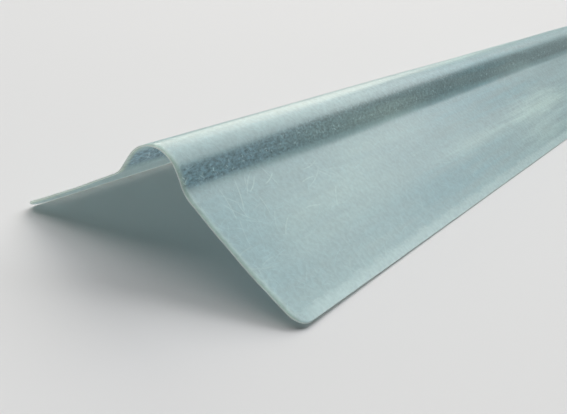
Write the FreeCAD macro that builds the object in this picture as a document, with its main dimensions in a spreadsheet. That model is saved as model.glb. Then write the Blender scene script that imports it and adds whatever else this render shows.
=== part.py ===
"""Roof ridge cap: one moulded sheet of glass-fibre laminate with a rolled crown and two flat wings.

The sheet lies across the ridge of a roof. Its crown is a round roll, its flanks run down from the
roll, a reverse curve (the valley) turns each flank out into a flat wing, and each wing lies on one
slope of the roof. The section is drawn once, for one side, and mirrored across the ridge line.

Frame: millimetres, X across the ridge, Y along it, Z up. The origin is midway along the ridge, on
the ground that the two wing edges stand on.
"""

import os

import FreeCAD
import Part
import Sketcher

# Driving dimensions, in millimetres and degrees. Radii are those of the upper, weathered surface.
DIMENSIONS = {
    "ridge_length": 2000.0,
    "sheet_thickness": 1.5,
    "crown_radius": 32.0,
    "flank_angle": 59.0,
    "flank_length": 17.0,
    "valley_radius": 22.0,
    "wing_angle": 31.5,
    "wing_width": 140.0,
    "corner_radius": 16.0,
}

PART_NAME = "ridge_cap"
SHEET_NAME = "dimensions"
# The sketch solver's own numbers: its axes count down from -1, the points of a piece of geometry up from 1.
HORIZONTAL_AXIS, VERTICAL_AXIS = range(-1, -3, -1)
START, END, CENTRE = range(1, 4)
# How far an edge may lie from where it is looked for, in millimetres.
MATCH_TOLERANCE = 0.01


def add_dimension_sheet(doc):
    """A spreadsheet with one named cell for each driving dimension."""
    sheet = doc.addObject("Spreadsheet::Sheet", SHEET_NAME)
    for row, (name, value) in enumerate(DIMENSIONS.items(), start=1):
        sheet.set(f"A{row}", name)
        sheet.set(f"B{row}", str(value))
        sheet.setAlias(f"B{row}", name)
    doc.recompute()
    return sheet


def origin_plane(body, role):
    """One of the body's own reference planes."""
    return next(item for item in body.Origin.OriginFeatures if item.Role == role)


def direction(degrees_below_level):
    """Unit vector that points outwards and down at an angle below the horizontal."""
    rotation = FreeCAD.Rotation(FreeCAD.Vector(0, 0, 1), -degrees_below_level)
    return rotation.multVec(FreeCAD.Vector(1, 0, 0))


def outward(degrees_below_level):
    """Unit normal of that direction, on the weathered side of the sheet."""
    rotation = FreeCAD.Rotation(FreeCAD.Vector(0, 0, 1), 90 - degrees_below_level)
    return rotation.multVec(FreeCAD.Vector(1, 0, 0))


def arc_through(centre, radius, first_normal, last_normal):
    """Arc about a centre, from one normal's direction to another's, by way of their middle."""
    middle = (first_normal + last_normal).normalize()
    points = [centre + normal * radius for normal in (first_normal, middle, last_normal)]
    return Part.Arc(*points)


def half_section_geometry(sheet):
    """Outline of one side of the sheet, crown to wing edge on top and back again underneath."""
    thickness = sheet.sheet_thickness
    top = outward(0)
    flank_normal, wing_normal = outward(sheet.flank_angle), outward(sheet.wing_angle)
    flank, wing = direction(sheet.flank_angle), direction(sheet.wing_angle)

    # Laid out from the crown's centre at the origin, then lifted so that the edge stands on the ground.
    crown_centre = FreeCAD.Vector(0, 0, 0)
    flank_top = crown_centre + flank_normal * sheet.crown_radius
    flank_foot = flank_top + flank * sheet.flank_length
    valley_centre = flank_foot + flank_normal * sheet.valley_radius
    wing_root = valley_centre - wing_normal * sheet.valley_radius
    wing_edge = wing_root + wing * sheet.wing_width
    lift = FreeCAD.Vector(0, -(wing_edge - wing_normal * thickness).y, 0)

    under_crown = sheet.crown_radius - thickness
    under_valley = sheet.valley_radius + thickness
    outline = [
        arc_through(crown_centre, sheet.crown_radius, top, flank_normal),
        Part.LineSegment(flank_top, flank_foot),
        arc_through(valley_centre, sheet.valley_radius, -flank_normal, -wing_normal),
        Part.LineSegment(wing_root, wing_edge),
        Part.LineSegment(wing_edge, wing_edge - wing_normal * thickness),
        Part.LineSegment(wing_edge - wing_normal * thickness, wing_root - wing_normal * thickness),
        arc_through(valley_centre, under_valley, -wing_normal, -flank_normal),
        Part.LineSegment(flank_foot - flank_normal * thickness, flank_top - flank_normal * thickness),
        arc_through(crown_centre, under_crown, flank_normal, top),
        Part.LineSegment(crown_centre + top * under_crown, crown_centre + top * sheet.crown_radius),
    ]
    for item in outline:
        item.translate(lift)
    return outline


def curve_ends(sketch, index, before):
    """The start and end numbers of a curve as met when the outline is followed on from a point."""
    starts_there = sketch.getPoint(index, START).distanceToPoint(before) < MATCH_TOLERANCE
    return (START, END) if starts_there else (END, START)


def constrain_half_section(sketch):
    """Joins the outline, sets its tangents and binds its sizes to the dimension sheet."""
    outline = range(sketch.GeometryCount)
    crown, flank, valley, wing, edge, under_wing, under_valley, under_flank, under_crown, joint = outline
    first, last = {}, {}
    before = sketch.getPoint(joint, END)
    for index in outline:
        first[index], last[index] = curve_ends(sketch, index, before)
        before = sketch.getPoint(index, last[index])

    def add(kind, *values):
        return sketch.addConstraint(Sketcher.Constraint(kind, *values))

    def bind(name, number):
        sketch.renameConstraint(number, name)
        sketch.setExpression(f"Constraints.{name}", f"{SHEET_NAME}.{name}")

    smooth = [(crown, flank), (flank, valley), (valley, wing)]
    smooth += [(under_wing, under_valley), (under_valley, under_flank), (under_flank, under_crown)]
    for one, other in smooth:
        add("Tangent", one, last[one], other, first[other])
    for one, other in [(wing, edge), (edge, under_wing), (under_crown, joint), (joint, crown)]:
        add("Coincident", one, last[one], other, first[other])

    # The sheet is as thick everywhere: its two faces run parallel and its arcs share centres.
    add("Perpendicular", wing, edge)
    add("Perpendicular", edge, under_wing)
    add("Parallel", flank, under_flank)
    add("Coincident", under_crown, CENTRE, crown, CENTRE)
    add("Coincident", under_valley, CENTRE, valley, CENTRE)

    # The crown is centred on the ridge line, and the wing's lower corner stands on the ground.
    add("PointOnObject", crown, CENTRE, VERTICAL_AXIS)
    add("PointOnObject", crown, first[crown], VERTICAL_AXIS)
    add("PointOnObject", under_crown, last[under_crown], VERTICAL_AXIS)
    add("PointOnObject", edge, last[edge], HORIZONTAL_AXIS)

    for name, arc in (("crown_radius", crown), ("valley_radius", valley)):
        bind(name, add("Radius", arc, DIMENSIONS[name]))
    for name, line in (("flank_length", flank), ("wing_width", wing), ("sheet_thickness", edge)):
        bind(name, add("Distance", line, DIMENSIONS[name]))
    for name, line in (("flank_angle", flank), ("wing_angle", wing)):
        angle = FreeCAD.Units.Quantity(f"{DIMENSIONS[name]} deg")
        bind(name, add("Angle", line, first[line], HORIZONTAL_AXIS, START, angle))


def build_ridge_cap(doc, sheet):
    """The whole sheet: half section, run out along the ridge, mirrored, with its corners rounded."""
    body = doc.addObject("PartDesign::Body", PART_NAME)
    body.Label = PART_NAME

    section = body.newObject("Sketcher::SketchObject", "half_section")
    section.AttachmentSupport = [(origin_plane(body, "XZ_Plane"), "")]
    section.MapMode = "FlatFace"
    section.addGeometry(half_section_geometry(sheet), False)
    constrain_half_section(section)
    doc.recompute()

    half = body.newObject("PartDesign::Pad", "half_sheet")
    half.Profile = section
    half.Midplane = True
    half.setExpression("Length", f"{SHEET_NAME}.ridge_length")
    doc.recompute()

    whole = body.newObject("PartDesign::Mirrored", "both_sides")
    whole.Originals = [half]
    whole.MirrorPlane = (origin_plane(body, "YZ_Plane"), [""])
    whole.Refine = True
    body.Tip = whole
    doc.recompute()

    rounding = body.newObject("PartDesign::Fillet", "rounded_corners")
    rounding.Base = (whole, corner_edges(whole.Shape, sheet))
    rounding.setExpression("Radius", f"{SHEET_NAME}.corner_radius")
    body.Tip = rounding
    doc.recompute()
    return body


def corner_edges(shape, sheet):
    """Names of the four short edges where the ends of the sheet meet the wings' long edges."""
    box = shape.BoundBox
    names = []
    for number, edge in enumerate(shape.Edges, start=1):
        middle = edge.CenterOfMass
        at_end = abs(abs(middle.y) - box.YMax) < MATCH_TOLERANCE
        at_side = abs(middle.x) > box.XMax - sheet.sheet_thickness
        through_sheet = abs(edge.Length - sheet.sheet_thickness) < MATCH_TOLERANCE
        if at_end and at_side and through_sheet:
            names.append(f"Edge{number}")
    return names


def check(doc, body):
    """Stops if any object failed to build or the sheet is not one sound solid."""
    failed = [item.Label for item in doc.Objects if {"Invalid", "Error"} & set(item.State)]
    if failed:
        raise RuntimeError(f"these objects failed to build: {failed}")
    shape = body.Shape
    if shape.isNull() or not shape.isValid() or len(shape.Solids) != 1:
        raise RuntimeError(f"{body.Label} is not one valid solid")


def main():
    doc = FreeCAD.newDocument("ridge_cap_document")
    sheet = add_dimension_sheet(doc)
    body = build_ridge_cap(doc, sheet)
    check(doc, body)

    os.makedirs("parts", exist_ok=True)
    body.Shape.exportStep(f"parts/{body.Label}.step")
    box = body.Shape.BoundBox
    print(f"{body.Label}: {box.XLength:.2f} x {box.YLength:.2f} x {box.ZLength:.2f} mm, "
          f"volume {body.Shape.Volume:.0f} mm3, from z {box.ZMin:.3f}")


main()
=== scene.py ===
"""Looks of the roof ridge cap: a translucent glass-fibre sheet on a pale floor in soft studio light.

The sheet is one mesh, swept along the ridge from the same section as the solid that it stands for,
with the small unevenness of a hand-trimmed laminate. Everything is in metres, in the solid's frame:
X across the ridge, Y along it, Z up, with the origin on the ground midway along.
"""

import math
from types import SimpleNamespace

import bpy
import numpy as np
from mathutils import Matrix, Vector


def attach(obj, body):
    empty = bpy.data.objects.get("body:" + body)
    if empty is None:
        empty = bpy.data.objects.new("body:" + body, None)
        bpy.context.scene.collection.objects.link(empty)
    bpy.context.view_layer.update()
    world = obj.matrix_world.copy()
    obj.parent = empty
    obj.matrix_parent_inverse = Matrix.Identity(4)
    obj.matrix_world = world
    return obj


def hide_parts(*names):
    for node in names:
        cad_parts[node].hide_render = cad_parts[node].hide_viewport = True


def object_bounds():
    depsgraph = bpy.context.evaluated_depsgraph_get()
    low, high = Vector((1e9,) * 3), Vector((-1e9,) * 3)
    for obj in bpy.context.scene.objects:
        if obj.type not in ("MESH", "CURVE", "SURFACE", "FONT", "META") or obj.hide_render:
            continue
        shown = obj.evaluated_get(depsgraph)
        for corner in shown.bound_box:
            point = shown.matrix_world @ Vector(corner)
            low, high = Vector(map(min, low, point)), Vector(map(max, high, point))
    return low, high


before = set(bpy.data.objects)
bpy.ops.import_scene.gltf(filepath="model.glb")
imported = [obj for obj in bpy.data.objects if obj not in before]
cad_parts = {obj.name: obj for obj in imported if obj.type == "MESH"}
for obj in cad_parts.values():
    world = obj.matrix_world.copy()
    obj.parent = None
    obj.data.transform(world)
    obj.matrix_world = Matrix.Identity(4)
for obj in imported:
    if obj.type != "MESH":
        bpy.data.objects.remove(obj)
cad_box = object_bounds()

# Section of the sheet: radii of the upper face, angles below level.
SHEET_THICKNESS = 0.0015
CROWN_RADIUS = 0.032
FLANK_ANGLE = math.radians(59.0)
FLANK_LENGTH = 0.017
VALLEY_RADIUS = 0.022
WING_ANGLE = math.radians(31.5)
WING_WIDTH = 0.140
CORNER_RADIUS = 0.016
HALF_LENGTH = cad_box[1][1]
CROWN_TOP = cad_box[1][2]

# Where each stretch of the section ends, measured along the upper face from the crown's middle.
CROWN_END = CROWN_RADIUS * FLANK_ANGLE
FLANK_END = CROWN_END + FLANK_LENGTH
VALLEY_END = FLANK_END + VALLEY_RADIUS * (FLANK_ANGLE - WING_ANGLE)
HALF_GIRTH = VALLEY_END + WING_WIDTH

# Unevenness of the sheet: heights out of its plain section, and the lengths over which they die away.
LEFT_CORNER_LIFT, LEFT_LIFT_REACH = 0.0050, 0.0098
RIGHT_CORNER_LIFT, RIGHT_LIFT_REACH = 0.0042, 0.120
FLANK_DIP, END_DIP = 0.00030, 0.00028
FLANK_DIP_PLACE, FLANK_DIP_WIDTH, END_DIP_REACH = 0.0470, 0.0045, 0.22
WING_SAG, WING_SAG_REACH = 0.0011, 0.25
RIPPLE_HEIGHT = 0.00022
RIPPLE_EDGE_REACH, RIPPLE_AT_EDGE = 0.03, 0.25
CUT_UNEVENNESS, CUT_REACH = 0.00025, 0.05
EDGE_CHAMFER = 0.0002

# Seeded waves: how many, and the shortest and longest pitch across the sheet and along it.
RIPPLE_WAVES = {"seed": 11, "count": 9, "across": (0.05, 0.16), "along": (0.35, 1.2)}
CUT_WAVES = {"seed": 5, "count": 6, "across": (0.015, 0.09), "along": (5.0, 9.0)}

# Mesh steps.
CROWN_STEPS, FLANK_STEPS, VALLEY_STEPS, WING_STEPS, CORNER_STEPS = 14, 12, 8, 16, 8
LENGTH_STEPS = 400
UV_NAME = "sheet"

# Camera, as fitted to the photo's outline: angles in degrees, turned left, tipped down and rolled.
CAMERA_PLACE = Vector((0.4199, -1.4834, 0.3290))
CAMERA_YAW, CAMERA_PITCH, CAMERA_ROLL = 30.60, 22.18, -7.48
CAMERA_LENS, CAMERA_SENSOR = 50.0, 36.0

# Light: each lamp's bearing from the X axis, height and spread in degrees, its strength and colour.
LAMPS = {
    "rear_softbox": (90.9, 44.1, 48.3, 1.96, (1.0, 1.0, 1.0)),
    "side_softbox": (125.1, 22.1, 31.3, 1.0, (1.0, 0.935, 0.815)),
    "overhead_softbox": (177.7, 67.3, 63.5, 1.54, (1.0, 1.0, 1.0)),
    "right_softbox": (56.8, 35.7, 16.0, 0.18, (1.0, 1.0, 1.0)),
}
FILL_COLOUR = (0.95, 1.0, 1.03)
FILL_STRENGTH = 0.005
BACKGROUND_STRENGTH = 0.76
FLOOR_SIZE = 60.0
FLOOR_COLOUR = (0.66, 0.665, 0.67)
FLOOR_ROUGHNESS = 0.9

# Colours, linear.
RESIN_COLOUR = (0.373, 0.578, 0.596)
# The flank's colour below is painted shade: the bluer hue of the shaded flank near the ends.
FLANK_SHADE_COLOUR = (0.360, 0.588, 0.655)
# The streak colour also colours the pale patches, some of which are painted highlight.
STREAK_AND_HIGHLIGHT_COLOUR = (0.54, 0.765, 0.745)
SHADE_COLOUR = (0.278, 0.520, 0.563)
STRAND_COLOUR = (0.48, 0.77, 0.80)
LONG_STRAND_COLOUR = (0.58, 0.83, 0.82)
# The fleck colour is partly the glass fibres' own and partly painted glints.
FLECK_AND_GLINT_COLOUR = (0.65, 0.92, 0.94)
EDGE_BAND_COLOUR = (0.555, 0.780, 0.785)
SAWN_END_COLOUR = (0.55, 0.77, 0.70)
CUT_COLOUR = (0.70, 0.78, 0.77)
CUT_GLOW_COLOUR = (0.97, 0.98, 0.97)

# Gloss of the laminate, and the share and tint of the light that comes through it.
GLOSS_LEVEL, GLOSS_IOR = 0.73, 1.52
LEAST_ROUGHNESS, ROUGHNESS_SPREAD = 0.28, 0.03
THROUGH_TINT = (1.66, 1.18, 1.15)
THROUGH_SHARE = 0.5
CUT_GLOW_SHARE = 0.6
CUT_ROUGHNESS = 0.7

# Noises: scale, detail and roughness. A draw below 1 stretches the noise along the ridge.
CLOUD_NOISE = (45.0, 3.0, 0.55)
MOTTLE_NOISE, MOTTLE_DRAW = (420.0, 3.0, 0.6), 0.4
STREAK_NOISE, STREAK_DRAW = (30.0, 3.0, 0.55), 0.12
BRUSH_NOISE, BRUSH_DRAW = (110.0, 3.0, 0.6), 0.04
STREAK_AREA_NOISE = (5.0, 1.0, 0.5)
BUNDLE_NOISE = (12.0, 1.0, 0.5)
CLUSTER_NOISE = (80.0, 2.0, 0.5)
DENSITY_NOISE = (190.0, 3.0, 0.6)
SPECK_NOISE = (900.0, 2.0, 0.6)
NOISE_MEAN = 0.5

# Fades of a noise: its values at the start and end, then the shares there where they aren't 0 and 1.
STREAK_FADE = (0.44, 0.74)
STREAK_AREA_FADE = (0.42, 0.62)
BUNDLE_FADE = (0.40, 0.60, 0.0, 0.4)
CLUSTER_FADE = (0.42, 0.62)
DENSITY_FADE = (0.34, 0.66, 0.88, 1.12)

# Fades with the distance from the crown's middle, and how much further up the flecked band of the flank,
# which is darkened with painted shade, reaches away from the ends.
BAND_TOP_FADE = (CROWN_END - 0.008, CROWN_END + 0.002)
BAND_FOOT_FADE = (FLANK_END - 0.004, FLANK_END + 0.002, 1.0, 0.0)
BAND_WIDENING = 0.006
WING_FADE = (FLANK_END, VALLEY_END)

# Fades with the distance from the sheet's ends. The brush's depth is below 0, because the low places of
# its noise are the pale ones.
AWAY_FROM_END_FADE = (0.06, 0.30)
MOTTLE_FADE = (0.08, 0.45, 1.75, 0.85)
BRUSH_FADE = (0.25, 0.65, 0.0, -0.26)
EDGE_BAND_END_FADE = (0.005, 0.045, 0.3, 1.0)
SAWN_END_FADE = (0.0, 0.009, 0.7, 0.0)

# The pale band along the long edges, by the distance from the edge, and how ragged its border is.
EDGE_BAND_FADE = (0.0195, 0.0275, 0.7, 0.0)
EDGE_BAND_RAGGEDNESS = 0.012

# Tones: a texture's spread and base, the depth of the mottle off the flank, and the flank's darker tone,
# which is painted shade.
CLOUD_TONE_SPREAD, CLOUD_TONE_BASE = 0.24, 0.88
WING_MOTTLE = 0.07
# The flank's tone is painted shade: it darkens the steep flank, which the light hardly reaches.
FLANK_SHADE_TONE = 0.82
BRUSH_SPREAD = 1.6
SPECK_TONE_SPREAD, SPECK_TONE_BASE = 0.3, 0.85

# Layers of chopped strands: the cell that holds one strand, the strand's length and half its width.
STRAND_LAYERS = [
    (0.030, 0.034, 0.0007), (0.024, 0.028, 0.0006), (0.018, 0.022, 0.0006),
    (0.012, 0.014, 0.0005), (0.009, 0.011, 0.0005), (0.007, 0.009, 0.0004),
]
FLECK_LAYERS = [
    (0.010, 0.008, 0.0010), (0.008, 0.006, 0.0010), (0.006, 0.005, 0.0009), (0.005, 0.004, 0.0009),
]
LONG_STRAND_LAYERS = [
    (0.060, 0.060, 0.0012), (0.048, 0.050, 0.0011), (0.040, 0.042, 0.0011),
    (0.032, 0.034, 0.0010), (0.027, 0.028, 0.0010),
]
# Each layer has its own seed, which shifts its cells. The fill is the share of cells that hold a strand. A
# strand fades out between two shares of its length from its middle.
STRAND_SEED, FLECK_SEED, LONG_STRAND_SEED = 1, 11, 21
STRAND_FILL, FLECK_FILL, LONG_STRAND_FILL = 0.85, 0.6, 0.75
SEED_SHIFT = (3.17, 1.73)
STRAND_BEND = 0.25
STRAND_TAPER_START, STRAND_TAPER_END = 0.3, 0.5

# How strongly each layer shows in the colour and in the relief.
STREAK_STRENGTH, STRAND_STRENGTH, LONG_STRAND_STRENGTH = 0.3, 0.42, 0.8
# Flecks, partly painted glints, show most on the flank.
FLECKS_ON_FLANK, FLECKS_ALL_OVER = 0.6, 0.12
FLECK_LINE, FLECK_LINE_FADE = 0.0410, (0.0005, 0.004, 0.9, 0.0)
STRAND_RELIEF, MOTTLE_RELIEF = 0.4, 0.5
RELIEF_ON_FLANK, RELIEF_ALL_OVER = 0.75, 0.25
RELIEF_HEIGHT = 0.0002

# Where the colour is paler or darker and where strands show most: across the sheet, from its near end,
# half width, half length, share. Some pale patches are painted highlight and some dark ones painted shade.
PALE_AND_HIGHLIGHT_PATCHES = [
    (0.115, 0.200, 0.050, 0.170, 0.30),
    (0.131, 0.600, 0.012, 0.240, 0.50),
    (0.128, 0.850, 0.026, 0.240, 0.95),
    (0.072, 0.360, 0.024, 0.130, 0.27),
    (0.168, 0.790, 0.040, 0.130, 0.45),
    # Painted highlight: widens the crown's highlight towards the near end.
    (0.013, 0.230, 0.012, 0.280, 0.35),
    (0.045, 0.400, 0.014, 0.130, 0.75),
    # Painted highlight: brightens the top of the crown further along.
    (0.000, 0.720, 0.010, 0.180, 0.50),
    (0.112, 1.420, 0.028, 0.280, 0.70),
    (0.155, 1.760, 0.030, 0.200, 0.45),
    (-0.122, 0.680, 0.026, 0.260, 0.70),
    (-0.098, 1.360, 0.020, 0.270, 0.75),
    (-0.160, 1.720, 0.028, 0.180, 0.40),
]
DARK_AND_SHADE_PATCHES = [
    (0.160, 0.400, 0.034, 0.260, 0.75),
    (0.088, 0.760, 0.022, 0.230, 0.70),
    # Painted shade: darkens the wing at the near end.
    (0.110, 0.010, 0.080, 0.090, 0.55),
    (0.070, 0.640, 0.045, 0.230, 0.75),
    # Painted shade: darkens the right side of the crown further along, narrowing its highlight.
    (0.022, 0.720, 0.020, 0.300, 0.80),
    (0.160, 1.240, 0.034, 0.270, 0.70),
    (0.084, 1.720, 0.026, 0.210, 0.60),
    (-0.158, 1.080, 0.034, 0.280, 0.75),
    (-0.082, 0.960, 0.028, 0.250, 0.60),
    (-0.092, 1.800, 0.032, 0.180, 0.60),
]
STRAND_PATCHES = [
    (0.095, 0.120, 0.060, 0.110, 1.00),
]
# In half sizes: how far a patch reaches, and how much further one of strands does.
PATCH_REACH = 1.2
STRAND_PATCH_GROWTH = 0.3


def outward(angle):
    """Unit normal (x, z) of a face that slopes down at an angle."""
    return np.array((math.sin(angle), math.cos(angle)))


def downhill(angle):
    """Unit vector (x, z) that runs outwards and down at an angle."""
    return np.array((math.cos(angle), -math.sin(angle)))


def section_point(along):
    """Point (x, z) and normal (x, z) of the upper face, at a distance from the crown's middle."""
    side = np.array((-1.0 if along < 0 else 1.0, 1.0))
    s = abs(along)
    crown_centre = np.array((0.0, CROWN_TOP - CROWN_RADIUS))
    flank_top = crown_centre + CROWN_RADIUS * outward(FLANK_ANGLE)
    flank_foot = flank_top + FLANK_LENGTH * downhill(FLANK_ANGLE)
    valley_centre = flank_foot + VALLEY_RADIUS * outward(FLANK_ANGLE)
    if s <= CROWN_END:
        normal = outward(s / CROWN_RADIUS)
        point = crown_centre + CROWN_RADIUS * normal
    elif s <= FLANK_END:
        normal = outward(FLANK_ANGLE)
        point = flank_top + (s - CROWN_END) * downhill(FLANK_ANGLE)
    else:
        normal = outward(max(FLANK_ANGLE - (s - FLANK_END) / VALLEY_RADIUS, WING_ANGLE))
        point = valley_centre - VALLEY_RADIUS * normal
        point = point + max(s - VALLEY_END, 0.0) * downhill(WING_ANGLE)
    return side * point, side * normal


def section_stations():
    """Distances across the sheet at which the mesh has a line of vertices, from left edge to right."""
    corner_start = HALF_GIRTH - CORNER_RADIUS
    turns = np.linspace(0.0, math.pi / 2, CORNER_STEPS + 1)[1:]
    right = np.concatenate([
        np.linspace(0.0, CROWN_END, CROWN_STEPS + 1),
        np.linspace(CROWN_END, FLANK_END, FLANK_STEPS + 1)[1:],
        np.linspace(FLANK_END, VALLEY_END, VALLEY_STEPS + 1)[1:],
        np.linspace(VALLEY_END, corner_start, WING_STEPS + 1)[1:],
        corner_start + CORNER_RADIUS * np.sin(turns),
    ])
    return np.concatenate([-right[:0:-1], right])


def waves(size, seed, count, across, along):
    """A seeded sum of sine waves over the sheet: a function of the distances across and along it."""
    draw = np.random.RandomState(seed)
    pitch_across = draw.uniform(*across, count)
    pitch_along = draw.uniform(*along, count)
    phase = draw.uniform(0, 2 * math.pi, count)
    sign = draw.choice((-1.0, 1.0), count)

    def height(s, y):
        total = np.zeros(np.broadcast(s, y).shape)
        for a, b, c, d in zip(pitch_across, pitch_along, phase, sign):
            total = total + np.sin(2 * math.pi * (s / a + d * y / b) + c)
        return size * total / math.sqrt(count)

    return height


def sheet_grid(stations, inset):
    """Distances across and along the sheet for each vertex of one face, with the corners rounded."""
    beyond = np.clip(np.abs(stations) - (HALF_GIRTH - CORNER_RADIUS), 0.0, CORNER_RADIUS)
    cut_back = CORNER_RADIUS - np.sqrt(CORNER_RADIUS ** 2 - beyond ** 2)
    reach = HALF_LENGTH - cut_back
    steps = np.linspace(-1.0, 1.0, LENGTH_STEPS + 1)
    s = np.repeat(stations[:, None], LENGTH_STEPS + 1, axis=1)
    y = reach[:, None] * steps[None, :]
    cut = waves(CUT_UNEVENNESS, **CUT_WAVES)
    near_end = np.clip((np.abs(y) - HALF_LENGTH + CUT_REACH) / CUT_REACH, 0.0, 1.0) ** 2
    y = y - np.sign(y) * near_end * np.abs(cut(s, y))
    return s * (1.0 - inset / HALF_GIRTH), y * (1.0 - inset / HALF_LENGTH)


def unevenness(s, y):
    """How far the sheet stands out of its plain section, at distances across and along it."""
    wing = np.clip((np.abs(s) - VALLEY_END) / WING_WIDTH, 0.0, 1.0)
    from_end = HALF_LENGTH - np.abs(y)

    calm = np.clip((HALF_GIRTH - np.abs(s)) / RIPPLE_EDGE_REACH, RIPPLE_AT_EDGE, 1.0)
    ripple = waves(RIPPLE_HEIGHT, **RIPPLE_WAVES)(s, y) * calm

    left_lift = LEFT_CORNER_LIFT * np.exp(-from_end / LEFT_LIFT_REACH)
    right_lift = RIGHT_CORNER_LIFT * np.exp(-from_end / RIGHT_LIFT_REACH)
    lift = wing ** 2 * np.where(s < 0, left_lift, right_lift)

    # The dip and the sag are on the right side only.
    across_dip = (s - FLANK_DIP_PLACE) / FLANK_DIP_WIDTH
    dip_depth = FLANK_DIP + END_DIP * np.exp(-(from_end / END_DIP_REACH) ** 2)
    dip = dip_depth * np.exp(-across_dip ** 2)
    right_sag = np.where(s > 0, WING_SAG, 0.0)
    sag = right_sag * np.sin(math.pi * wing) * np.exp(-from_end / WING_SAG_REACH)
    return ripple + lift - dip - sag


def place(s, y, depth):
    """Points of the sheet at distances across and along it, a depth below its upper face."""
    section = np.array([section_point(value) for value in s[:, 0]])
    points, normals = section[:, 0], section[:, 1]
    out = unevenness(s, y) - depth
    x = points[:, 0, None] + normals[:, 0, None] * out
    z = points[:, 1, None] + normals[:, 1, None] * out
    return np.stack([x, y, z], axis=-1)


def grid_faces(numbers):
    """Four-sided faces of a grid of vertex numbers."""
    corners = [numbers[:-1, :-1], numbers[1:, :-1], numbers[1:, 1:], numbers[:-1, 1:]]
    return np.stack(corners, axis=-1).reshape(-1, 4)


def strip_faces(upper, lower):
    """Four-sided faces between two closed lines of vertex numbers."""
    return np.stack([upper, lower, np.roll(lower, -1), np.roll(upper, -1)], axis=-1)


def sheet_data():
    """The closed sheet: points, their places on the sheet, faces, and which faces are cut edge."""
    stations = section_stations()
    outer = sheet_grid(stations, 0.0)
    inner = sheet_grid(stations, EDGE_CHAMFER)
    numbers = np.arange(inner[0].size).reshape(inner[0].shape)
    everywhere = numbers.ravel()
    around = np.concatenate([
        numbers[:, 0], numbers[-1, 1:], numbers[-2::-1, -1], numbers[0, -2:0:-1],
    ])

    # Upper face, lower face, and the two lines of the cut edge between its small chamfers.
    layers = [
        (inner, 0.0, everywhere),
        (inner, SHEET_THICKNESS, everywhere),
        (outer, EDGE_CHAMFER, around),
        (outer, SHEET_THICKNESS - EDGE_CHAMFER, around),
    ]
    points = [place(s, y, depth).reshape(-1, 3)[kept] for (s, y), depth, kept in layers]
    places = [np.stack(grid, axis=-1).reshape(-1, 2)[kept] for grid, _, kept in layers]
    _, lower_start, rim_start, rim_middle, rim_end = np.cumsum([0] + [len(block) for block in points])

    faces = grid_faces(numbers)
    shells = [faces, faces[:, ::-1] + lower_start]
    lines = [around, np.arange(rim_start, rim_middle), np.arange(rim_middle, rim_end), around + lower_start]
    strips = [strip_faces(upper, lower) for upper, lower in zip(lines, lines[1:])]
    is_cut = np.repeat([False, True], [sum(map(len, shells)), sum(map(len, strips))])
    return np.concatenate(points), np.concatenate(places), np.concatenate(shells + strips), is_cut


def build_sheet():
    """The whole sheet as one closed mesh: upper face, lower face and the cut edge round them."""
    points, places, faces, is_cut = sheet_data()
    mesh = bpy.data.meshes.new("ridge_sheet")
    mesh.from_pydata(points.tolist(), [], faces.tolist())
    mesh.polygons.foreach_set("material_index", is_cut.astype(int).tolist())
    mesh.polygons.foreach_set("use_smooth", (~is_cut).tolist())
    layer = mesh.uv_layers.new(name=UV_NAME)
    corners = np.empty(len(mesh.loops), dtype=np.int32)
    mesh.loops.foreach_get("vertex_index", corners)
    layer.data.foreach_set("uv", places[corners].ravel())
    mesh.update()
    mesh.materials.append(laminate_material())
    mesh.materials.append(cut_edge_material())
    sheet = bpy.data.objects.new("ridge_sheet", mesh)
    bpy.context.scene.collection.objects.link(sheet)
    return sheet


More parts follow.
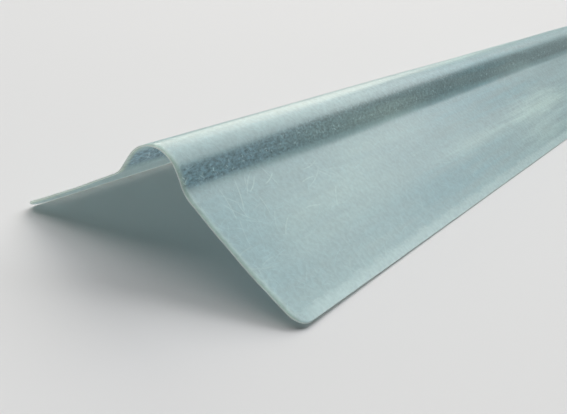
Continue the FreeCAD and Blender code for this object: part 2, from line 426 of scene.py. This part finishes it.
class Graph:
    """Adds shader nodes to a tree, one call a node, and links what is given as a socket."""

    MIX_FACTOR, MIX_FIRST, MIX_SECOND, MIX_RESULT = 0, 6, 7, 2

    def __init__(self, tree):
        self.tree = tree

    def add(self, kind, **settings):
        node = self.tree.nodes.new(kind)
        for name, value in settings.items():
            setattr(node, name, value)
        return node

    def feed(self, socket, value):
        if isinstance(value, bpy.types.NodeSocket):
            self.tree.links.new(value, socket)
        else:
            socket.default_value = value

    def maths(self, operation, *values):
        node = self.add("ShaderNodeMath", operation=operation)
        for socket, value in zip(node.inputs, values):
            self.feed(socket, value)
        return node.outputs[0]

    def product(self, first, *others):
        for value in others:
            first = self.maths("MULTIPLY", first, value)
        return first

    def largest(self, values):
        first, *others = values
        for value in others:
            first = self.maths("MAXIMUM", first, value)
        return first

    def vector(self, operation, *values):
        node = self.add("ShaderNodeVectorMath", operation=operation)
        for socket, value in zip(node.inputs, values):
            self.feed(socket, value)
        return node.outputs["Vector"]

    def scaled(self, vector, factor):
        node = self.add("ShaderNodeVectorMath", operation="SCALE")
        self.feed(node.inputs[0], vector)
        self.feed(node.inputs["Scale"], factor)
        return node.outputs["Vector"]

    def length(self, vector):
        node = self.add("ShaderNodeVectorMath", operation="LENGTH")
        self.feed(node.inputs[0], vector)
        return node.outputs["Value"]

    def split(self, vector):
        node = self.add("ShaderNodeSeparateXYZ")
        self.feed(node.inputs[0], vector)
        return node.outputs["X"], node.outputs["Y"]

    def noise(self, vector, settings, draw=None):
        """Noise over the sheet, stretched along the ridge where a draw is given."""
        if draw is not None:
            vector = self.vector("MULTIPLY", vector, (1.0, draw, 1.0))
        node = self.add("ShaderNodeTexNoise")
        self.feed(node.inputs["Vector"], vector)
        for name, value in zip(("Scale", "Detail", "Roughness"), settings):
            node.inputs[name].default_value = value
        return node.outputs[0]

    def fade(self, value, start, end, low=0.0, high=1.0):
        """Smooth change from low to high as a value goes from start to end."""
        node = self.add("ShaderNodeMapRange", interpolation_type="SMOOTHSTEP")
        for socket, number in zip(node.inputs, (value, start, end, low, high)):
            self.feed(socket, number)
        return node.outputs[0]

    def blend(self, factor, first, second):
        node = self.add("ShaderNodeMix", data_type="RGBA")
        self.feed(node.inputs[self.MIX_FACTOR], factor)
        self.feed(node.inputs[self.MIX_FIRST], first)
        self.feed(node.inputs[self.MIX_SECOND], second)
        return node.outputs[self.MIX_RESULT]

    def mix_shaders(self, factor, first, second):
        node = self.add("ShaderNodeMixShader")
        self.feed(node.inputs["Fac"], factor)
        self.feed(node.inputs[1], first.outputs[0])
        self.feed(node.inputs[2], second.outputs[0])
        return node

    def show(self, shader, kind="ShaderNodeOutputMaterial"):
        output = self.add(kind)
        self.feed(output.inputs["Surface"], shader.outputs[0])


def opaque(colour):
    return (*colour, 1.0)


def new_material(name):
    material = bpy.data.materials.new(name)
    material.use_nodes = True
    material.node_tree.nodes.clear()
    return material, Graph(material.node_tree)


def sheet_place(graph):
    """The place on the sheet as a vector: distance across from the crown, and along from midway."""
    return graph.add("ShaderNodeUVMap", uv_map=UV_NAME).outputs["UV"]


def sheet_zones(graph):
    """Where a point is on the sheet: its place, distances from crown, edge and end, and two shares."""
    place_on_sheet = sheet_place(graph)
    across, along = graph.split(place_on_sheet)
    from_crown = graph.maths("ABSOLUTE", across)
    from_end = graph.maths("SUBTRACT", HALF_LENGTH, graph.maths("ABSOLUTE", along))

    # The flecked band on the flank, darkened with painted shade, is narrower towards the ends of the sheet.
    away_from_end = graph.fade(from_end, *AWAY_FROM_END_FADE)
    upper_place = graph.maths("MULTIPLY_ADD", away_from_end, BAND_WIDENING, from_crown)
    below_crown = graph.fade(upper_place, *BAND_TOP_FADE)
    above_wing = graph.fade(from_crown, *BAND_FOOT_FADE)
    return SimpleNamespace(
        place=place_on_sheet,
        from_crown=from_crown,
        from_edge=graph.maths("SUBTRACT", HALF_GIRTH, from_crown),
        from_end=from_end,
        away_from_end=away_from_end,
        on_flank=graph.product(below_crown, above_wing),
    )


def strand_layer(graph, place_on_sheet, size, seed, fill):
    """Brightness of one layer of chopped strands: at most one in each cell, at its own angle."""
    cell, length, width = size
    shift = (seed * SEED_SHIFT[0], seed * SEED_SHIFT[1], 0.0)
    scaled = graph.scaled(graph.vector("ADD", place_on_sheet, shift), 1.0 / cell)
    cells = graph.add("ShaderNodeTexVoronoi", voronoi_dimensions="2D", feature="F1")
    graph.feed(cells.inputs["Vector"], scaled)
    cells.inputs["Scale"].default_value = 1.0
    cells.inputs["Randomness"].default_value = 1.0
    draws = graph.add("ShaderNodeSeparateColor")
    graph.feed(draws.inputs[0], cells.outputs["Color"])

    turn = graph.add("ShaderNodeVectorRotate", rotation_type="Z_AXIS")
    graph.feed(turn.inputs["Vector"], graph.vector("SUBTRACT", scaled, cells.outputs["Position"]))
    graph.feed(turn.inputs["Angle"], graph.product(draws.outputs[0], 2 * math.pi))
    along, across = graph.split(turn.outputs[0])
    bend = graph.product(graph.maths("POWER", along, 2.0), STRAND_BEND)
    from_middle = graph.maths("ABSOLUTE", graph.maths("SUBTRACT", across, bend))
    line = graph.fade(from_middle, 0.0, width / cell, 1.0, 0.0)
    taper = (STRAND_TAPER_START * length / cell, STRAND_TAPER_END * length / cell)
    ends = graph.fade(graph.maths("ABSOLUTE", along), *taper, 1.0, 0.0)
    strength = graph.fade(draws.outputs[1], 1.0 - fill, 1.0)
    return graph.product(line, ends, strength)


def strand_layers(graph, place_on_sheet, sizes, first_seed, fill):
    """Brightness of several layers of chopped strands, one over the other."""
    return graph.largest([
        strand_layer(graph, place_on_sheet, size, seed, fill)
        for seed, size in enumerate(sizes, start=first_seed)
    ])


def soft_patches(graph, place_on_sheet, ragged, patches):
    """Strength of a set of soft oval patches, uneven at their borders."""
    strengths = []
    for across, along, half_width, half_length, share in patches:
        offset = graph.vector("SUBTRACT", place_on_sheet, (across, along - HALF_LENGTH, 0.0))
        oval = graph.vector("MULTIPLY", offset, (1.0 / half_width, 1.0 / half_length, 0.0))
        distance = graph.maths("ADD", graph.length(oval), ragged)
        strengths.append(graph.fade(distance, 0.0, PATCH_REACH, share, 0.0))
    return graph.largest(strengths)


def long_strand_share(graph, zones):
    """Long strands on the wings, in scattered bundles and in patches."""
    strands = strand_layers(graph, zones.place, LONG_STRAND_LAYERS, LONG_STRAND_SEED, LONG_STRAND_FILL)
    on_wing = graph.fade(zones.from_crown, *WING_FADE)
    scattered = graph.fade(graph.noise(zones.place, BUNDLE_NOISE), *BUNDLE_FADE)
    patches = soft_patches(graph, zones.place, -STRAND_PATCH_GROWTH, STRAND_PATCHES)
    bundles = graph.product(on_wing, graph.largest([scattered, patches]))
    return graph.product(strands, bundles, LONG_STRAND_STRENGTH)


def fleck_and_glint_share(graph, zones):
    """Bright flecks in clusters, glass fibres with painted glints: most on the flank and along one line of
    it, few elsewhere.
    """
    flecks = strand_layers(graph, zones.place, FLECK_LAYERS, FLECK_SEED, FLECK_FILL)
    clusters = graph.fade(graph.noise(zones.place, CLUSTER_NOISE), *CLUSTER_FADE)
    from_line = graph.maths("ABSOLUTE", graph.maths("SUBTRACT", zones.from_crown, FLECK_LINE))
    on_line = graph.fade(from_line, *FLECK_LINE_FADE)
    all_over = graph.maths("MULTIPLY_ADD", zones.on_flank, FLECKS_ON_FLANK, FLECKS_ALL_OVER)
    return graph.product(flecks, clusters, graph.maths("ADD", all_over, on_line))


def streak_share(graph, zones):
    """Broad pale streaks along the ridge, in some areas of the sheet."""
    streaks = graph.fade(graph.noise(zones.place, STREAK_NOISE, STREAK_DRAW), *STREAK_FADE)
    areas = graph.fade(graph.noise(zones.place, STREAK_AREA_NOISE), *STREAK_AREA_FADE)
    return graph.product(streaks, areas, STREAK_STRENGTH)


def edge_band_share(graph, zones, cloud, mottle):
    """The pale band along the long edges, with a ragged border, weaker at the corners."""
    distance = zones.from_edge
    for texture in (cloud, mottle):
        distance = graph.maths("MULTIPLY_ADD", texture, EDGE_BAND_RAGGEDNESS, distance)
    band = graph.fade(distance, *EDGE_BAND_FADE)
    return graph.product(band, graph.fade(zones.from_end, *EDGE_BAND_END_FADE))


def mottle_unevenness(graph, zones, mottle):
    """Lighter and darker specks about a mean of 0: strong on the flank, most of all near the ends."""
    flank_depth = graph.fade(zones.from_end, *MOTTLE_FADE)
    depth = graph.maths("MULTIPLY_ADD", zones.on_flank, flank_depth, WING_MOTTLE)
    return graph.product(graph.maths("SUBTRACT", mottle, NOISE_MEAN), depth)


def resin_colour(graph, zones, cloud, uneven):
    """The resin: cloudy and mottled most on the flank, with painted shade there (darker, and bluer near the
    ends), and with patches drawn out along the ridge, some of them painted highlight and painted shade.
    """
    brush = graph.noise(zones.place, BRUSH_NOISE, BRUSH_DRAW)
    brushed = graph.maths("MULTIPLY_ADD", brush, BRUSH_SPREAD, -BRUSH_SPREAD * NOISE_MEAN)
    # Painted shade: the flank takes a bluer colour near the ends.
    shaded_end_flank = graph.product(zones.on_flank, graph.maths("SUBTRACT", 1.0, zones.away_from_end))
    colour = graph.blend(shaded_end_flank, opaque(RESIN_COLOUR), opaque(FLANK_SHADE_COLOUR))
    # Patches of paler and darker colour; some are painted highlight and painted shade.
    for patches, patch_colour in ((DARK_AND_SHADE_PATCHES, SHADE_COLOUR), (PALE_AND_HIGHLIGHT_PATCHES, STREAK_AND_HIGHLIGHT_COLOUR)):
        share = soft_patches(graph, zones.place, brushed, patches)
        colour = graph.blend(share, colour, opaque(patch_colour))

    cloud_tone = graph.maths("MULTIPLY_ADD", cloud, CLOUD_TONE_SPREAD, CLOUD_TONE_BASE)
    # Painted shade: the flank is darkened.
    flank_shade_tone = graph.fade(zones.on_flank, 0.0, 1.0, 1.0, FLANK_SHADE_TONE)
    brush_depth = graph.fade(zones.from_end, *BRUSH_FADE)
    brush_tone = graph.maths("MULTIPLY_ADD", brushed, brush_depth, 1.0)
    tone = graph.product(cloud_tone, graph.maths("ADD", uneven, flank_shade_tone), brush_tone)
    return graph.scaled(colour, tone)


def relief_normal(graph, zones, strands, flecks, uneven):
    """The fine relief of strands, flecks and mottle, strongest on the flank."""
    raised = graph.largest([graph.product(strands, STRAND_RELIEF), flecks])
    height = graph.maths("ADD", raised, graph.product(uneven, MOTTLE_RELIEF))
    share = graph.maths("MULTIPLY_ADD", zones.on_flank, RELIEF_ON_FLANK, RELIEF_ALL_OVER)
    bump = graph.add("ShaderNodeBump")
    bump.inputs["Strength"].default_value = 1.0
    bump.inputs["Distance"].default_value = RELIEF_HEIGHT
    graph.feed(bump.inputs["Height"], graph.product(height, share))
    return bump.outputs["Normal"]


def light_through(graph, zones, colour):
    """Light that comes through the sheet, tinted by it and patchy with its density."""
    density = graph.fade(graph.noise(zones.place, DENSITY_NOISE), *DENSITY_FADE)
    through = graph.add("ShaderNodeBsdfTranslucent")
    tinted = graph.vector("MULTIPLY", colour, THROUGH_TINT)
    graph.feed(through.inputs["Color"], graph.scaled(tinted, density))
    return through


def laminate_material():
    """Cloudy polyester resin with chopped glass strands in it, paler along the long edges."""
    material, graph = new_material("laminate")
    zones = sheet_zones(graph)
    cloud = graph.noise(zones.place, CLOUD_NOISE)
    mottle = graph.noise(zones.place, MOTTLE_NOISE, MOTTLE_DRAW)
    uneven = mottle_unevenness(graph, zones, mottle)
    strands = strand_layers(graph, zones.place, STRAND_LAYERS, STRAND_SEED, STRAND_FILL)
    flecks = fleck_and_glint_share(graph, zones)

    colour = resin_colour(graph, zones, cloud, uneven)
    coats = [
        (streak_share(graph, zones), STREAK_AND_HIGHLIGHT_COLOUR),
        (graph.product(strands, STRAND_STRENGTH), STRAND_COLOUR),
        (long_strand_share(graph, zones), LONG_STRAND_COLOUR),
        # Flecks: glass fibres with painted glints.
        (flecks, FLECK_AND_GLINT_COLOUR),
        (edge_band_share(graph, zones, cloud, mottle), EDGE_BAND_COLOUR),
        (graph.fade(zones.from_end, *SAWN_END_FADE), SAWN_END_COLOUR),
    ]
    for share, coat_colour in coats:
        colour = graph.blend(share, colour, opaque(coat_colour))

    surface = graph.add("ShaderNodeBsdfPrincipled")
    roughness = graph.maths("MULTIPLY_ADD", cloud, ROUGHNESS_SPREAD, LEAST_ROUGHNESS)
    graph.feed(surface.inputs["Base Color"], colour)
    graph.feed(surface.inputs["Roughness"], roughness)
    surface.inputs["IOR"].default_value = GLOSS_IOR
    surface.inputs["Specular IOR Level"].default_value = GLOSS_LEVEL
    graph.feed(surface.inputs["Normal"], relief_normal(graph, zones, strands, flecks, uneven))
    graph.show(graph.mix_shaders(THROUGH_SHARE, surface, light_through(graph, zones, colour)))
    return material


def cut_edge_material():
    """The sawn edge: pale and dull, with strand ends as fine specks and light from inside the sheet."""
    material, graph = new_material("cut_edge")
    specks = graph.noise(sheet_place(graph), SPECK_NOISE)
    tone = graph.maths("MULTIPLY_ADD", specks, SPECK_TONE_SPREAD, SPECK_TONE_BASE)
    surface = graph.add("ShaderNodeBsdfPrincipled")
    graph.feed(surface.inputs["Base Color"], graph.scaled(CUT_COLOUR, tone))
    surface.inputs["Roughness"].default_value = CUT_ROUGHNESS
    through = graph.add("ShaderNodeBsdfTranslucent")
    through.inputs["Color"].default_value = opaque(CUT_GLOW_COLOUR)
    graph.show(graph.mix_shaders(CUT_GLOW_SHARE, surface, through))
    return material


def floor_material():
    """Plain pale paint."""
    material, graph = new_material("floor_paint")
    surface = graph.add("ShaderNodeBsdfPrincipled")
    surface.inputs["Base Color"].default_value = opaque(FLOOR_COLOUR)
    surface.inputs["Roughness"].default_value = FLOOR_ROUGHNESS
    graph.show(surface)
    return material


def build_floor():
    """A plain pale floor, wide enough for every view."""
    half = FLOOR_SIZE / 2
    corners = [(-half, -half, 0), (half, -half, 0), (half, half, 0), (-half, half, 0)]
    mesh = bpy.data.meshes.new("floor")
    mesh.from_pydata(corners, [], [(0, 1, 2, 3)])
    mesh.materials.append(floor_material())
    floor = bpy.data.objects.new("floor", mesh)
    bpy.context.scene.collection.objects.link(floor)


def build_lamps():
    """The broad lamps, each shining from its bearing and height."""
    for name, (bearing, height, spread, strength, colour) in LAMPS.items():
        data = bpy.data.lights.new(name, "SUN")
        data.energy = strength
        data.color = colour
        data.angle = math.radians(spread)
        lamp = bpy.data.objects.new(name, data)
        azimuth, elevation = math.radians(bearing), math.radians(height)
        flat = math.cos(elevation)
        towards = Vector((flat * math.cos(azimuth), flat * math.sin(azimuth), math.sin(elevation)))
        lamp.rotation_euler = towards.to_track_quat("Z", "Y").to_euler()
        bpy.context.scene.collection.objects.link(lamp)


def build_world():
    """A world that fills evenly, and shows as a pale background to the camera and in reflections."""
    world = bpy.data.worlds.new("studio")
    world.use_nodes = True
    world.node_tree.nodes.clear()
    graph = Graph(world.node_tree)
    fill = graph.add("ShaderNodeBackground")
    fill.inputs["Color"].default_value = opaque(FILL_COLOUR)
    fill.inputs["Strength"].default_value = FILL_STRENGTH
    shown = graph.add("ShaderNodeBackground")
    shown.inputs["Strength"].default_value = BACKGROUND_STRENGTH
    path = graph.add("ShaderNodeLightPath")
    rays = ("Is Glossy Ray", "Is Transmission Ray", "Is Camera Ray")
    seen = graph.largest([path.outputs[name] for name in rays])
    graph.show(graph.mix_shaders(seen, fill, shown), "ShaderNodeOutputWorld")
    bpy.context.scene.world = world


def build_camera():
    """The camera at the photo's place, angle and lens."""
    yaw, pitch, roll = (math.radians(angle) for angle in (CAMERA_YAW, CAMERA_PITCH, CAMERA_ROLL))
    flat = math.cos(pitch)
    ahead = Vector((-math.sin(yaw) * flat, math.cos(yaw) * flat, -math.sin(pitch)))
    level = Vector((math.cos(yaw), math.sin(yaw), 0.0))
    down = ahead.cross(level)
    right = math.cos(roll) * level + math.sin(roll) * down
    up = math.sin(roll) * level - math.cos(roll) * down
    data = bpy.data.cameras.new("camera")
    data.lens = CAMERA_LENS
    data.sensor_width = CAMERA_SENSOR
    data.sensor_fit = "HORIZONTAL"
    camera = bpy.data.objects.new("camera", data)
    turn = Matrix((right, up, -ahead)).transposed().to_4x4()
    camera.matrix_world = Matrix.Translation(CAMERA_PLACE) @ turn
    bpy.context.scene.collection.objects.link(camera)
    bpy.context.scene.camera = camera


bpy.context.scene.view_settings.view_transform = "Standard"
sheet = build_sheet()
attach(sheet, "root")
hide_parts("ridge_cap")
build_floor()
build_lamps()
build_world()
build_camera()
